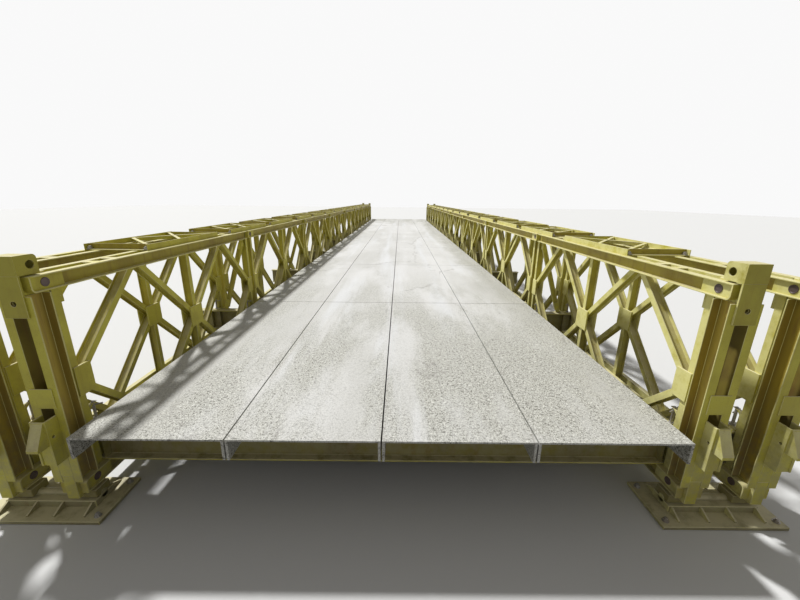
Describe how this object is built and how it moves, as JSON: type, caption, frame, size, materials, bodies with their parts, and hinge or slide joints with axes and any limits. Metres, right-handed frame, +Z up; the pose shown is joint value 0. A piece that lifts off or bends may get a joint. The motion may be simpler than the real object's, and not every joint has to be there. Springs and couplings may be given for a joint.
{
  "type": "double-truss panel bridge",
  "caption": "Steel panel bridge with paired lattice side trusses, pinned end posts on rocker bearings, cross beams and a plated road deck.",
  "frame": {"origin": "middle of the span and of the roadway, at the underside of the base plates", "axes": "+Y along the bridge from the near end to the far end, +X across the roadway to the right, +Z up"},
  "size_m": [5.56, 24.56, 1.792],
  "materials": {
    "olive_paint": "weathered olive-yellow paint",
    "olive_paint_grimy": "olive paint under dirt",
    "deck_steel": "worn steel plate under pale dust",
    "pin_steel": "dark oxidised steel",
    "bearing_steel": "dusty painted steel"
  },
  "bodies": {
    "root": {"bearings": "bearing_steel", "deck_strip_1": "deck_steel", "deck_strip_2": "deck_steel", "deck_strip_3": "deck_steel", "deck_strip_4": "deck_steel", "end_pins": "pin_steel", "far_end_posts": "olive_paint", "left_bracing_frames": "olive_paint", "left_inner_panel_1": "olive_paint", "left_inner_panel_2": "olive_paint", "left_inner_panel_3": "olive_paint", "left_inner_panel_4": "olive_paint", "left_inner_panel_5": "olive_paint", "left_inner_panel_6": "olive_paint", "left_inner_panel_7": "olive_paint", "left_inner_panel_8": "olive_paint", "left_outer_panel_1": "olive_paint", "left_outer_panel_2": "olive_paint", "left_outer_panel_3": "olive_paint", "left_outer_panel_4": "olive_paint", "left_outer_panel_5": "olive_paint", "left_outer_panel_6": "olive_paint", "left_outer_panel_7": "olive_paint", "left_outer_panel_8": "olive_paint", "near_end_posts": "olive_paint", "rakers": "olive_paint", "right_bracing_frames": "olive_paint", "right_inner_panel_1": "olive_paint", "right_inner_panel_2": "olive_paint", "right_inner_panel_3": "olive_paint", "right_inner_panel_4": "olive_paint", "right_inner_panel_5": "olive_paint", "right_inner_panel_6": "olive_paint", "right_inner_panel_7": "olive_paint", "right_inner_panel_8": "olive_paint", "right_outer_panel_1": "olive_paint", "right_outer_panel_2": "olive_paint", "right_outer_panel_3": "olive_paint", "right_outer_panel_4": "olive_paint", "right_outer_panel_5": "olive_paint", "right_outer_panel_6": "olive_paint", "right_outer_panel_7": "olive_paint", "right_outer_panel_8": "olive_paint", "sway_braces": "olive_paint_grimy", "transoms": "olive_paint_grimy"}
  },
  "joints": []
}
